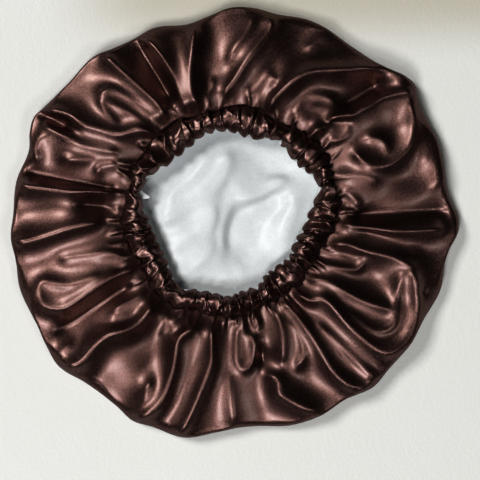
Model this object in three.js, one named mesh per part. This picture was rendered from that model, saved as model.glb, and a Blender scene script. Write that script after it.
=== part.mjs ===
// A double-layer satin sleep bonnet, lying crown down with its gathered mouth up.
// Millimetres, +Z up. The origin is on the floor, under the middle of the bonnet's outline.
// The pieces are worked out about the middle of the crown, and the group then moves them there.
// Angles are in degrees, counter-clockwise seen from above, about the middle of the crown.

import * as THREE from "three";

// Driving dimensions
const CLOTH = 1.2;              // brown satin wall, with its turnings
const LINING_CLOTH = 1.0;       // white satin wall
const CLEARANCE = 0.45;         // between two layers of cloth
const LINING_SLACK = 1.0;       // more room where the lining cuts across the dents of the outline
const ELASTIC_WIDTH = 10;
const ELASTIC_THICK = 1;
const CHANNEL_FLOOR = 22.35;    // top of the lining where it passes under the stitch line
const CHANNEL_SLOPE = 0.6;      // how much lower it is at the mouth's edge
const LINING_PEEK = 0.8;        // how far its edge shows past the casing's
const GATHERS = 56;             // small pleats round the casing
const GATHER_RISE = 1.7;
const GATHER_LEAN = 1.3;        // degrees that a pleat leans over its neighbour
const SCALLOP = 0.9;            // how far a pleat moves the mouth's edge in and out
const COLUMNS_PER_FOLD = 4;     // crest, flank, valley, flank
const WRINKLE_REACH = 84;       // how far out the crown's lining is wrinkled

// The large folds of the shell, in order round it.
// stitch, middle, edge: the crest's angle at the casing, halfway and at the outline
// crest, shoulder: how high it stands over its valleys halfway and near the outline
// reach, dip: the outline's radius at the crest, and in the valley after it
const FOLDS = [
  { stitch: -2, middle: -4, edge: -1, crest: 7, shoulder: 6, reach: 183.5, dip: 177.5 },
  { stitch: 21, middle: 13, edge: 11, crest: 5, shoulder: 3, reach: 178, dip: 178.5 },
  { stitch: 32, middle: 27, edge: 29, crest: 7, shoulder: 6, reach: 178.5, dip: 179 },
  { stitch: 47, middle: 41, edge: 37, crest: 11, shoulder: 9, reach: 184.5, dip: 174.5 },
  { stitch: 70, middle: 60, edge: 49, crest: 12, shoulder: 6, reach: 172.5, dip: 171 },
  { stitch: 77, middle: 73, edge: 63, crest: 5, shoulder: 4, reach: 172.5, dip: 174 },
  { stitch: 95, middle: 84, edge: 79, crest: 9, shoulder: 5, reach: 172, dip: 173 },
  { stitch: 100, middle: 92, edge: 87, crest: 6, shoulder: 4, reach: 173.5, dip: 168.5 },
  { stitch: 107, middle: 105, edge: 101, crest: 11, shoulder: 8, reach: 165, dip: 166 },
  { stitch: 114, middle: 113.5, edge: 114.5, crest: 8, shoulder: 8, reach: 170, dip: 169.5 },
  { stitch: 124, middle: 125.5, edge: 128, crest: 9, shoulder: 8, reach: 174, dip: 175.5 },
  { stitch: 129.5, middle: 133, edge: 139, crest: 7, shoulder: 4, reach: 175.5, dip: 178 },
  { stitch: 135.5, middle: 146.5, edge: 149.5, crest: 9, shoulder: 6, reach: 181.5, dip: 183.5 },
  { stitch: 150, middle: 153.5, edge: 155, crest: 6, shoulder: 7, reach: 182.5, dip: 178 },
  { stitch: 158, middle: 161, edge: 163.5, crest: 5, shoulder: 5, reach: 178.5, dip: 179.5 },
  { stitch: 167, middle: 170.5, edge: 171, crest: 9, shoulder: 7, reach: 181, dip: 181 },
  { stitch: 181, middle: 184, edge: 185, crest: 9, shoulder: 8, reach: 183, dip: 181.5 },
  { stitch: 197, middle: 193.5, edge: 193, crest: 5, shoulder: 3, reach: 183.5, dip: 184 },
  { stitch: 206, middle: 206, edge: 204, crest: 8, shoulder: 5, reach: 184, dip: 183 },
  { stitch: 225, middle: 224, edge: 219, crest: 12, shoulder: 9, reach: 187.5, dip: 179.5 },
  { stitch: 247, middle: 248, edge: 244, crest: 11, shoulder: 9, reach: 184.5, dip: 182.5 },
  { stitch: 259, middle: 260, edge: 256, crest: 9, shoulder: 7, reach: 183, dip: 173 },
  { stitch: 273, middle: 273, edge: 270, crest: 5, shoulder: 2, reach: 170.5, dip: 170 },
  { stitch: 281, middle: 285, edge: 290, crest: 9, shoulder: 6, reach: 175, dip: 173.5 },
  { stitch: 294, middle: 296, edge: 299, crest: 7, shoulder: 2, reach: 173, dip: 173.5 },
  { stitch: 302, middle: 303.5, edge: 309, crest: 9, shoulder: 8, reach: 178, dip: 176 },
  { stitch: 314, middle: 317, edge: 321, crest: 10, shoulder: 8, reach: 175.5, dip: 175 },
  { stitch: 325, middle: 328.5, edge: 332, crest: 7, shoulder: 7, reach: 175, dip: 176.5 },
  { stitch: 345, middle: 346, edge: 343, crest: 9, shoulder: 8, reach: 178, dip: 175.5 },
];

// The mouth every 30 degrees: the radius of its edge and of the stitch line round the casing
const MOUTH = [
  { edge: 60.5, stitch: 84 },
  { edge: 70, stitch: 89 },
  { edge: 70, stitch: 90 },
  { edge: 69, stitch: 92.5 },
  { edge: 69.5, stitch: 92.5 },
  { edge: 73.5, stitch: 92.5 },
  { edge: 69.5, stitch: 90.5 },
  { edge: 64.5, stitch: 85.5 },
  { edge: 65.5, stitch: 85 },
  { edge: 59.5, stitch: 78.5 },
  { edge: 53, stitch: 74 },
  { edge: 51.5, stitch: 74.5 },
];

// The bag's section, from the floor round the outline and over to the casing.
// inset: distance in from the outline, way: share of the way from there to the stitch line
// height: of a valley, share: how much of a fold's rise shows there
const SECTION = [
  { inset: 14, way: 0, height: 0, share: 0 },
  { inset: 5, way: 0, height: 2.4, share: 0 },
  { inset: 0, way: 0, height: 9, share: 0.1 },
  { inset: 2.2, way: 0, height: 15, share: 0.3 },
  { inset: 8, way: 0, height: 19, share: 0.6 },
  { inset: 10, way: 0.15, height: 21, share: 0.9 },
  { inset: 10, way: 0.34, height: 22, share: 1 },
  { inset: 10, way: 0.54, height: 22.5, share: 1 },
  { inset: 10, way: 0.74, height: 23, share: 0.9 },
  { inset: 10, way: 0.9, height: 23.5, share: 0.65 },
  { inset: 10, way: 1, height: 24, share: 0.35 },
];

// The casing's outer side from the stitch line over to the mouth's edge.
// across: share of the casing's width in from the stitch line
// height: of its middle line, share: how much of a pleat's rise shows there
const CASING_SECTION = [
  { across: 0, height: 24, share: 0.3 },
  { across: 0.14, height: 28.5, share: 0.9 },
  { across: 0.45, height: 33, share: 1.5 },
  { across: 0.8, height: 31.5, share: 1.3 },
  { across: 1, height: 25, share: 0.4 },
];

// Creases of the lining's floor that show through the mouth, in order across it.
// Each runs straight between two places on the floor, and fades out over its width.
const CREASES = [
  { fromX: -72, fromY: -1, toX: -6, toY: 34, rise: 3.2, width: 9 },
  { fromX: -63, fromY: -22, toX: -26, toY: -5, rise: 2.6, width: 8 },
  { fromX: -56, fromY: -36, toX: -24, toY: -14, rise: 3.2, width: 7 },
  { fromX: -16, fromY: 24, toX: -14, toY: -22, rise: 2, width: 5 },
  { fromX: 12, fromY: 26, toX: 44, toY: 42, rise: 2.6, width: 8 },
  { fromX: -20, fromY: -52, toX: 46, toY: -4, rise: 3, width: 20 },
];

// Turns degrees into radians, and a share from 0 to 1 into one that starts and ends level.
const radians = THREE.MathUtils.degToRad;
const ease = (share) => THREE.MathUtils.smoothstep(share, 0, 1);
const blend = THREE.MathUtils.lerp;

// A smooth closed curve through evenly numbered values, read between them.
function between(values, place) {
  const count = values.length;
  const first = Math.floor(place);
  const share = place - first;
  const pick = (step) => values[(((first + step) % count) + count) % count];
  const slopeIn = (pick(1) - pick(-1)) / 2;
  const slopeOut = (pick(2) - pick(0)) / 2;
  const rise = pick(1) - pick(0);
  return pick(0) + share * (slopeIn + share * (3 * rise - 2 * slopeIn - slopeOut
    + share * (slopeIn + slopeOut - 2 * rise)));
}

// The same for angles, which grow by a full turn over the table.
function angleBetween(values, place) {
  const perRow = 360 / values.length;
  return between(values.map((value, row) => value - row * perRow), place) + place * perRow;
}

// A point at an angle and a distance from the middle of the crown.
function point(angle, radius, height) {
  return new THREE.Vector3(radius * Math.cos(radians(angle)), radius * Math.sin(radians(angle)), height);
}

const mouthEdge = (angle) => between(MOUTH.map((row) => row.edge), angle / 30);
const stitchLine = (angle) => between(MOUTH.map((row) => row.stitch), angle / 30);

// The outline's radius at a place among the folds, where whole numbers are crests.
const outlineValues = FOLDS.flatMap((fold) => [fold.reach, fold.dip]);
const outline = (place) => between(outlineValues, 2 * place);

// The crest's angle at a place among the folds, for a share of the way in from the outline.
function foldAngle(place, way) {
  const edge = angleBetween(FOLDS.map((fold) => fold.edge), place);
  const middle = angleBetween(FOLDS.map((fold) => fold.middle), place);
  const stitch = angleBetween(FOLDS.map((fold) => fold.stitch), place);
  return (1 - way) * (1 - 2 * way) * edge + 4 * way * (1 - way) * middle + way * (2 * way - 1) * stitch;
}

// How high the shell stands over its valleys: whole on a crest, none halfway between two.
function foldRise(place, way) {
  const reach = ease(way / 0.45);
  const height = (fold) => blend(fold.shoulder, fold.crest, reach);
  const wave = 0.5 + 0.5 * Math.cos(2 * Math.PI * place);
  return wave * between(FOLDS.map(height), place);
}

// One ring of the bag on a row of its section, with the folds' rise on it or left off.
function bagRing(row, columns, { folded, inset = 0, drop = 0 }) {
  return Array.from({ length: columns }, (_, column) => {
    const place = (column * FOLDS.length) / columns;
    const angle = foldAngle(place, row.way);
    const outer = outline(place) - row.inset - inset;
    const inner = stitchLine(angle) + CLEARANCE;
    const rise = folded ? row.share * foldRise(place, row.way) : 0;
    return point(angle, blend(outer, inner, row.way), row.height - drop + rise);
  });
}

// Rings of a flat floor: the given ring drawn in to smaller ones with half its points each time.
function floorRings(ring, shares, height) {
  let points = ring;
  return shares.map((share) => {
    if (points.length % 2 === 0) points = points.filter((_, index) => index % 2 === 0);
    return points.map((corner) => {
      const [x, y] = [share * corner.x, share * corner.y];
      return new THREE.Vector3(x, y, height(x, y));
    });
  });
}

const crownPoint = (height) => [new THREE.Vector3(0, 0, height(0, 0))];

// The other side of a wall: each ring's points moved in by the wall's thickness.
function wallInside(rings, thickness) {
  return rings.map((ring, row) => ring.map((corner, index) => {
    const around = new THREE.Vector3().subVectors(
      ring[(index + 1) % ring.length], ring[(index + ring.length - 1) % ring.length]);
    const along = new THREE.Vector3().subVectors(
      rings[Math.min(row + 1, rings.length - 1)][index], rings[Math.max(row - 1, 0)][index]);
    const outward = around.cross(along).normalize();
    return corner.clone().addScaledVector(outward, -thickness);
  }));
}

// Triangles between two rings that have the same number of points, or twice as many, or one.
function joinRings(start, count, nextStart, nextCount) {
  const faces = [];
  const steps = Math.max(count, nextCount);
  const corner = (step) => start + Math.floor(((step % steps) * count) / steps);
  const nextCorner = (step) => nextStart + Math.ceil(((step % steps) * nextCount) / steps) % nextCount;
  for (let step = 0; step < steps; step += 1) {
    const [near, nearNext] = [corner(step), corner(step + 1)];
    const [far, farNext] = [nextCorner(step), nextCorner(step + 1)];
    if (near !== nearNext) faces.push(near, nearNext, farNext);
    if (far !== farNext) faces.push(near, farNext, far);
  }
  return faces;
}

// A closed skin over a run of rings, which ends in two single points or comes back to its start.
function skin(rings) {
  const starts = [];
  let total = 0;
  for (const ring of rings) {
    starts.push(total);
    total += ring.length;
  }
  const faces = [];
  const closed = rings[0].length > 1;
  for (let row = 0; row < rings.length - (closed ? 0 : 1); row += 1) {
    const next = (row + 1) % rings.length;
    faces.push(...joinRings(starts[row], rings[row].length, starts[next], rings[next].length));
  }
  const geometry = new THREE.BufferGeometry();
  geometry.setFromPoints(rings.flat());
  geometry.setIndex(faces);
  geometry.computeVertexNormals();
  return geometry;
}

// The shell: a flat crown on the floor, the rounded outline, and the folded top up to the casing.
function shellGeometry() {
  const columns = FOLDS.length * COLUMNS_PER_FOLD;
  const outside = SECTION.map((row) => bagRing(row, columns, { folded: true }));
  const inside = wallInside(outside, CLOTH);
  inside[0] = outside[0].map((corner) => new THREE.Vector3(corner.x, corner.y, CLOTH));
  const crownShares = [0.72, 0.4];
  const under = floorRings(outside[0], crownShares, () => 0).reverse();
  const over = floorRings(inside[0], crownShares, () => CLOTH);
  return skin([
    crownPoint(() => 0), ...under, ...outside,
    ...inside.reverse(), ...over, crownPoint(() => CLOTH),
  ]);
}

// How high the lining's floor is lifted by its creases.
function creaseRise(x, y) {
  const fade = 1 - ease((Math.hypot(x, y) / WRINKLE_REACH - 0.7) / 0.3);
  const rises = CREASES.map((crease) => {
    const line = new THREE.Line3(
      new THREE.Vector3(crease.fromX, crease.fromY, 0), new THREE.Vector3(crease.toX, crease.toY, 0));
    const place = new THREE.Vector3(x, y, 0);
    const near = line.closestPointToPoint(place, true, new THREE.Vector3());
    return crease.rise * (1 - ease(near.distanceTo(place) / crease.width));
  });
  return fade * Math.max(...rises);
}

// The lining: a second bag inside the shell, smooth under its folds, which ends at the mouth's edge.
function liningGeometry() {
  const columns = FOLDS.length * 2;
  const floor = CLOTH + CLEARANCE;
  const gap = CLOTH + CLEARANCE;
  const bag = SECTION.slice(1).map((row) => bagRing(row, columns, { folded: false }));
  const fitted = wallInside(bag, gap).map((ring) => ring.map((corner) => {
    const away = new THREE.Vector3(corner.x, corner.y, 0).normalize();
    return corner.clone().addScaledVector(away, corner.z < 16 ? -LINING_SLACK : 0);
  }));
  const foot = bagRing(SECTION[0], columns, { folded: false, inset: 4, drop: -floor });
  const lowest = (ring) => ring.map((corner) => corner.clone().setZ(Math.max(corner.z, floor)));
  const channel = [0.35, 1].map((across) => Array.from({ length: columns }, (_, column) => {
    const angle = foldAngle((column * FOLDS.length) / columns, 1);
    const radius = blend(stitchLine(angle), mouthEdge(angle) - LINING_PEEK, across);
    return point(angle, radius, CHANNEL_FLOOR - CHANNEL_SLOPE * across);
  }));
  const outside = [foot, ...fitted.map(lowest), ...channel];
  const inside = wallInside(outside, LINING_CLOTH);
  inside[0] = foot.map((corner) => corner.clone().setZ(floor + LINING_CLOTH));
  const low = (x, y) => floor + creaseRise(x, y);
  const high = (x, y) => low(x, y) + LINING_CLOTH;
  const floorShares = [0.78, 0.56, 0.44, 0.33, 0.22, 0.11];
  return skin([
    crownPoint(low), ...floorRings(outside[0], floorShares, low).reverse(), ...outside,
    ...inside.reverse(), ...floorRings(foot, floorShares, high), crownPoint(high),
  ]);
}

// The casing: the gathered channel round the mouth, an arch of cloth that is open below.
function casingGeometry() {
  const columns = GATHERS * 2;
  const outside = CASING_SECTION.map((row) => Array.from({ length: columns }, (_, column) => {
    const side = column % 2 === 0 ? 1 : -1;
    const turn = (360 * column) / columns;
    const angle = turn + side * GATHER_LEAN * Math.sin(Math.PI * row.across);
    const uneven = 0.8 + 0.2 * Math.sin(radians(5 * turn) + 1) + 0.2 * Math.sin(radians(13 * turn));
    const edge = mouthEdge(angle) + side * SCALLOP * row.across;
    const radius = blend(stitchLine(angle) - CLEARANCE, edge, row.across);
    return point(angle, radius, row.height + side * row.share * GATHER_RISE * uneven);
  }));
  const inside = wallInside(outside, CLOTH);
  return skin([...outside, ...inside.reverse()]);
}

// The elastic: a flat band inside the casing, whose pull makes the gathers.
function elasticGeometry() {
  const columns = 60;
  const band = (side, height) => Array.from({ length: columns }, (_, column) => {
    const angle = (360 * column) / columns;
    const middle = (mouthEdge(angle) + stitchLine(angle)) / 2;
    return point(angle, middle + (side * ELASTIC_WIDTH) / 2, height);
  });
  const low = CHANNEL_FLOOR + 0.15;
  const high = low + ELASTIC_THICK;
  return skin([band(1, low), band(1, high), band(-1, high), band(-1, low)]);
}

// A named piece of the bonnet in its own cloth.
function piece(name, geometry, color, roughness) {
  const material = new THREE.MeshStandardMaterial({ color, roughness, metalness: 0 });
  const mesh = new THREE.Mesh(geometry, material);
  mesh.name = name;
  return mesh;
}

const shell = piece("shell", shellGeometry(), 0x3d2622, 0.35);
const middle = new THREE.Box3().setFromObject(shell).getCenter(new THREE.Vector3());
const bonnet = new THREE.Group();
bonnet.position.set(-middle.x, -middle.y, 0);
bonnet.add(
  shell,
  piece("casing", casingGeometry(), 0x35201d, 0.35),
  piece("elastic", elasticGeometry(), 0xe9e6e0, 0.9),
  piece("lining", liningGeometry(), 0xe8ebee, 0.4),
);

export default bonnet;
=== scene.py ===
"""A brown satin sleep bonnet, lying crown down with its gathered mouth up, on a pale table.

The bonnet is two layers of satin: a brown shell with large folds, and a white lining that shows
through the mouth. A gathered casing round the mouth holds the elastic, and a line of stitches
closes it. Everything is in metres, +Z up. The tables give millimetres, and degrees round the
middle of the crown, counter-clockwise seen from above.
"""

import math
from functools import cache
from types import SimpleNamespace
from typing import NamedTuple

import bpy
import numpy as np
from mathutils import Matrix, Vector


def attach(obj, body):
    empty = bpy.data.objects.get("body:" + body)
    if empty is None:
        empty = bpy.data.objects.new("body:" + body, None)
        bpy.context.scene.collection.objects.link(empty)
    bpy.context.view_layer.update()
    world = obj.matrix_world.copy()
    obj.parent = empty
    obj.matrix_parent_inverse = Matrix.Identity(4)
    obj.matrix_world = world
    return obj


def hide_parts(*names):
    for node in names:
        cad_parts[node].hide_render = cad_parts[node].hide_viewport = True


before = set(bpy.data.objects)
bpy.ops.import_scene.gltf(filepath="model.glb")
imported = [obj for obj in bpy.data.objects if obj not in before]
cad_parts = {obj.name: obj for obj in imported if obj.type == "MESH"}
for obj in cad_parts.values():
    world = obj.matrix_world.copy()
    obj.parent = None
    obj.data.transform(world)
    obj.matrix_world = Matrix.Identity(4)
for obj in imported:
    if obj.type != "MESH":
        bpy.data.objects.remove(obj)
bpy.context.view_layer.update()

bl_info = {
    "name": "Satin Sleep Bonnet",
    "version": (1, 0, 0),
    "blender": (4, 5, 0),
    "location": "View3D > Sidebar > Bonnet",
    "description": "Builds a double-layer satin sleep bonnet with a gathered mouth",
    "category": "Add Mesh",
}

MM = 0.001
SEED = 7

# The outline, which its folds push out and let in: angle and radius.
OUTLINE = (
    (0, 183.3), (5, 177.5), (20, 178), (33, 179.6), (37, 184.1), (40, 182), (45, 174.7), (55, 171),
    (70, 174.3), (78, 171.6), (85, 173.8), (91, 173), (97, 168), (103, 164.4), (113, 170.2),
    (119, 169.2), (125, 171.4), (131, 175.6), (141, 175.6), (150, 181.2), (152.5, 183.7),
    (157, 181.6), (160.5, 177.9), (170, 181.2), (178, 180.9), (185, 182.9), (190, 181.6),
    (197, 184.4), (209, 182.9), (214, 185.3), (219, 187.4), (227, 181.2), (233, 179.6),
    (238, 180.8), (243, 184.5), (248, 182.5), (257, 182.9), (265, 174.7), (271, 170.3),
    (276, 169.9), (285, 174.3), (293, 175.1), (302, 172.6), (310, 177.9), (316, 175.6),
    (325, 175.9), (330, 174.7), (343, 177.9), (348, 175.5), (352, 177.1), (357, 183.3),
)

# The mouth: angle, radius of its edge, radius of the stitch line round the casing.
MOUTH = (
    (0, 57.4, 84), (10, 62.5, 86), (19, 71.5, 86), (29, 71, 89.4), (38, 67.2, 93), (52, 68, 90),
    (62, 72, 87), (73, 66.4, 89.5), (85, 67.2, 93.5), (95, 70.6, 91.5), (109, 71.6, 89.4),
    (121, 68, 94), (134, 67.5, 92), (141, 69, 91.5), (154, 76.6, 93), (166, 77, 89.4),
    (180, 68.9, 92), (200, 63.3, 87.7), (211, 63.3, 85), (222, 66.8, 88.4), (231, 69.6, 88.8),
    (241, 64.2, 83.5), (252, 61.2, 80), (265, 61.6, 78.7), (280, 56.8, 74.8), (289, 56.8, 74.6),
    (297, 51.9, 73), (315, 50.2, 74), (326, 53, 73), (338, 51, 73.8), (350, 54, 78.3),
)


class Fold(NamedTuple):
    """A fold of the shell: how high its crest stands, how wide each side is, and its crest's line.

    The line is angles and radii in order, and left is to the left of someone who walks along it.
    A fold with a negative rise is a valley.
    """

    rise: float
    left: float
    right: float
    crest: tuple


FOLDS = (
    Fold(4, 6, 6, ((20, 90), (15, 91), (10, 97.5), (4.5, 103))),
    Fold(6, 9, 9, ((26, 84), (22, 92.5), (20, 105), (17, 114), (13, 119))),
    Fold(8, 14, 8, (
        (30, 110), (25, 113), (21, 119), (19.5, 130), (20.5, 141), (23, 154), (28, 164),
        (34.5, 173),
    )),
    Fold(8, 8, 14, ((43, 121), (40, 135), (39, 150), (35, 171))),
    Fold(6, 5, 5, ((32, 121), (30, 131), (27, 136), (21, 133))),
    Fold(4, 6, 6, ((16.5, 160), (19, 165), (23.5, 175))),
    Fold(4, 6, 6, ((9, 163), (11, 168), (16, 170), (23.5, 175))),
    Fold(11, 9, 13, ((48.5, 84), (47, 98), (45, 115), (41.5, 127), (40, 140), (39, 156), (35.5, 180))),
    Fold(5, 5, 5, ((47, 94), (46, 108), (43, 115), (40, 120), (37, 113), (38, 103), (43, 98))),
    Fold(12, 22, 12, (
        (72.5, 90), (71, 105), (65, 127), (60, 138), (56, 144.5), (52, 152.5), (48, 164),
        (44, 174), (38, 183),
    )),
    Fold(6, 6, 6, ((60, 92), (60, 113), (57, 119), (52, 124), (48, 122))),
    Fold(6, 6, 6, ((59, 90), (57, 97), (55.5, 109), (52, 114), (48, 120))),
    Fold(4, 8, 12, ((68, 149), (66, 154), (64, 162.5), (62.5, 171))),
    Fold(6, 4, 4, ((77, 88.5), (76, 98.5), (75, 115), (73.5, 117), (72, 106.5))),
    Fold(5, 5, 6, ((87, 95), (84, 98.5), (79, 110.5), (76, 125.5))),
    Fold(9, 8, 12, ((95, 97), (93, 105), (90, 112), (85, 129.5), (81, 146), (79, 158), (80.5, 171))),
    Fold(6, 9, 7, ((93, 127), (89, 141), (86.5, 149), (85, 160), (85.5, 168))),
    Fold(5, 4, 5, ((105, 80), (102, 100), (99, 110), (100, 117))),
    Fold(11, 15, 9, ((107.5, 92), (108.5, 105), (106.5, 123), (104.5, 135), (103, 146), (101, 161))),
    Fold(9, 8, 12, ((113.5, 92), (113.5, 115), (113, 123), (114.5, 147.5), (117, 167))),
    Fold(9, 8, 8, ((125, 96), (123.5, 110.5), (126, 135), (127, 147.5), (128.5, 173))),
    Fold(7, 6, 6, ((126.5, 97), (128, 110.5), (130, 124.5), (133, 143), (138, 149))),
    Fold(6, 5, 5, ((133, 98.5), (134, 115), (136, 131), (138, 143.5), (140, 135), (141, 118))),
    Fold(9, 8, 14, (
        (133, 92), (137, 105), (144, 115.5), (146.5, 131), (148, 143.5), (148, 160), (150.5, 180),
    )),
    Fold(7, 7, 7, ((150, 106.5), (153.5, 131), (154, 143.5), (153.5, 175))),
    Fold(5, 6, 7, ((155, 156), (157, 170), (161, 171), (164, 164))),
    Fold(6, 7, 7, ((156.5, 121), (159, 135), (161, 149))),
    Fold(5, 5, 5, ((155, 101), (156, 108), (159, 117), (163, 115))),
    Fold(9, 18, 8, ((167, 97), (168.5, 115), (170, 131), (170.5, 147.5), (171, 180))),
    Fold(9, 15, 14, ((181, 106.5), (183, 131), (184.5, 146), (186, 172), (185, 182))),
    Fold(5, 7, 7, ((199, 92), (195, 105), (193.5, 131), (193, 146))),
    Fold(7, 8, 9, ((202.5, 115), (202, 141), (200, 152.5), (198, 163), (201, 172), (204, 182))),
    Fold(8, 8, 8, ((206.5, 86), (205.5, 110.5), (207.5, 143.5), (207.5, 156), (204, 169), (199, 166.5))),
    Fold(4, 4, 4, ((201.5, 88.5), (202, 94.5), (204, 104))),
    Fold(12, 24, 12, (
        (226, 90), (227.5, 110.5), (226, 123), (222.5, 137), (222, 152), (223, 168), (221, 184),
    )),
    Fold(5, 5, 5, ((224, 106.5), (221, 123), (217.5, 129.5))),
    Fold(5, 5, 5, ((220, 90), (219, 102.5), (217.5, 115), (217.5, 127))),
    Fold(5, 8, 8, ((217, 164), (218, 184))),
    Fold(5, 4, 4, ((235, 92), (238, 106.5), (236, 110.5))),
    Fold(7, 5, 7, ((242.5, 143.5), (243, 156), (243.8, 168), (243.5, 182))),
    Fold(11, 7, 8, (
        (247, 88.5), (249, 92.5), (245, 106.5), (247, 123), (248, 135), (248, 160), (243.5, 183),
    )),
    Fold(5, 4, 4, ((239, 88.5), (239, 97), (241.5, 101.5), (244.5, 92))),
    Fold(10, 9, 8, ((258, 86), (260.5, 106.5), (261, 119), (259, 139.5), (256.5, 172), (255, 182))),
    Fold(6, 7, 5, ((261.5, 82), (261.5, 94), (263.5, 119))),
    Fold(5, 22, 18, ((268, 125), (270, 168))),
    Fold(6, 5, 5, (
        (275, 76), (275, 92), (279, 98.5), (278, 113), (274, 121.5), (271, 115), (271, 98),
        (272, 85),
    )),
    Fold(5, 3, 3, ((281, 76), (283, 84), (282, 90), (280, 88))),
    Fold(8, 12, 12, ((281, 127), (285.5, 134), (284.5, 145), (289, 158), (292.5, 168), (293.5, 175))),
    Fold(7, 6, 7, ((293, 76), (294, 90), (292.5, 102.5), (288.5, 123))),
    Fold(7, 5, 5, ((295, 89.5), (299, 98.5), (299, 110.5), (297, 123), (292, 131))),
    Fold(9, 8, 9, ((298.5, 75), (302.5, 87), (303.5, 115), (303, 147.5), (306, 170), (309.5, 176))),
    Fold(7, 6, 6, ((308, 105), (310, 127), (310.5, 143.5), (311.5, 175))),
    Fold(4, 4, 4, ((307, 78), (307.5, 90), (309, 97))),
    Fold(10, 9, 10, (
        (309, 75), (313, 88.5), (318.5, 98.5), (317, 131), (318.5, 162.5), (325, 171), (332, 167),
        (340, 156), (344.5, 147.5),
    )),
    Fold(7, 5, 5, ((321, 115), (321.5, 143.5), (326, 153.5), (330, 149), (340, 142), (345, 146))),
    Fold(8, 7, 7, ((321, 75), (326, 90), (327.5, 119), (330, 147.5))),
    Fold(6, 5, 5, ((332, 75), (334, 86), (338, 106.5), (345, 109))),
    Fold(4, 3, 3, ((341, 84), (341, 98.5), (344, 106.5))),
    Fold(9, 9, 10, ((344, 79), (347.5, 92), (346.5, 106.5), (346.5, 131), (345, 152))),
    Fold(4, 8, 8, ((338, 160), (341, 171))),
    Fold(5, 8, 8, ((355, 98.5), (353, 123), (350, 152))),
    Fold(9, 8, 8, ((357.5, 85), (356, 119), (356, 135), (357.5, 171))),
    Fold(-4, 7, 7, ((2.5, 95), (2.5, 176))),
    Fold(-5, 7, 7, ((47, 125), (45, 140), (43, 165))),
    Fold(-4, 7, 7, ((118, 106), (118.5, 168))),
    Fold(-3, 4, 4, ((151, 150), (151, 182))),
    Fold(-4, 6, 6, ((166, 98), (167, 176))),
    Fold(-3, 8, 8, ((174, 98), (174.5, 128))),
    Fold(-4, 8, 8, ((212, 98), (212.5, 172))),
    Fold(-3, 5, 5, ((282, 105), (281, 120))),
)

# Folds of the lining's floor that show through the mouth, in the same form.
CREASES = (
    Fold(6, 7, 8, ((169, 57), (155, 51), (139, 46), (120, 49), (110, 58))),
    Fold(7, 9, 9, ((184, 61), (174, 51), (161, 40), (140, 33), (115, 35), (100, 46), (97, 57))),
    Fold(6, 9, 10, ((209, 62), (208, 47), (204, 30), (182, 19), (140, 20))),
    Fold(5.5, 8, 10, ((225, 67), (226, 50), (227, 35), (220, 22))),
    Fold(3.5, 10, 26, (
        (248, 33), (234, 19), (185, 10), (115, 15), (92, 25), (62, 21), (44, 32), (41, 46),
        (40, 57),
    )),
    Fold(-2.2, 16, 16, ((281, 30), (310, 24), (358, 21), (15, 32), (20, 46))),
    Fold(3, 5, 7, ((18, 54), (3, 45), (341, 43), (321, 51))),
    Fold(2.5, 8, 8, ((259, 49), (268, 42), (282, 41))),
    Fold(-1.5, 8, 8, ((65, 47), (51, 53), (39, 61))),
    Fold(-1.5, 9, 9, ((259, 26), (254, 6), (37, 12), (29, 30), (31, 46))),
)

# Places where the lining's edge shows past the casing: angle, how far, and half its width in degrees.
PEEKS = (
    (15, 1.0, 6), (59, 1.4, 2.5), (81, 1.6, 3.5), (95, 1.3, 2), (165.5, 8, 3), (229, 1.3, 4),
    (262, 0.9, 4), (285, 0.7, 5), (320, 0.8, 4),
)

# How long the stitch line is, which the mouth's small folds are laid out along.
STRIP_LENGTH = 460

# The radius of a circle about that long, on which the waves round the mouth are read.
MOUTH_RADIUS = 73

# The pleats' least and greatest width, the share of them that have a curl, and how far the crests
# are repeated past the strip's ends, so that the last pleat meets the first.
PLEAT_WIDTHS = (6.5, 15.0)
CURLED_SHARE = 0.9
STRIP_OVERLAP = 15

# The crests that the small folds have: how far inside the stitch line, and how far aside, as a share.
GATHER_SHAPES = (
    ((-25, 0.4), (-12, 0.5), (-5, 0.1), (0, 0), (8, 0.3), (16, -0.1), (23, 0.1), (30, 0)),
    ((-20, -0.8), (-10, -0.6), (0, 0), (6, 0.9), (12, 0), (18, -0.9), (24, 0), (30, 0.1)),
    ((-25, 0.9), (-12, 0.7), (0, 0), (5, -0.8), (14, -0.8), (20, 0), (26, 0.5), (30, 0.6)),
    ((-25, -0.9), (-16, -0.3), (-8, -0.6), (0, 0), (9, 0.8), (19, 0.8), (30, 0.3)),
    ((-16, 0.5), (-6, 0), (0, 0), (7, -0.7), (12, 0.2), (17, 0.9), (24, 0.3), (30, 0)),
)
GATHER_CURLS = (
    ((27, -0.8), (18, -0.9), (10, -0.7), (6, 0), (10, 0.7), (15, 0.7), (17, 0.4)),
    ((1, -0.6), (8, -0.8), (15, -0.7), (20, 0), (15, 0.7), (9, 0.6)),
    ((-9, -0.8), (-4, -0.9), (0, -0.2), (3, 0.6), (0, 0.9), (-6, 0.8)),
    ((4, 0.9), (9, 0), (14, -0.9), (19, 0), (25, 0.6)),
    ((28, 0), (22, -0.5), (16, 0.2), (12, 0.8)),
)

# The casing's section: shares of the way in from the stitch line, and of its height.
CASING_SECTION = (
    (0, 0), (0.04, 0.27), (0.17, 0.66), (0.4, 0.96), (0.62, 0.98), (0.85, 0.76), (0.97, 0.46),
    (0.975, 0.24), (0.93, 0.1),
)

# The rounded side's section, from the widest place up to the top: shares of depth and of height.
LIP_SECTION = ((0, 0), (0.03, 0.25), (0.12, 0.5), (0.3, 0.72), (0.6, 0.89), (1, 1))

# The casing's arch: its width, its height, and the width of its cloth in the pleats' relief.
ARCH_WIDTH = 22
ARCH_HEIGHT = 8
ARCH_CLOTH = 27

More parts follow.
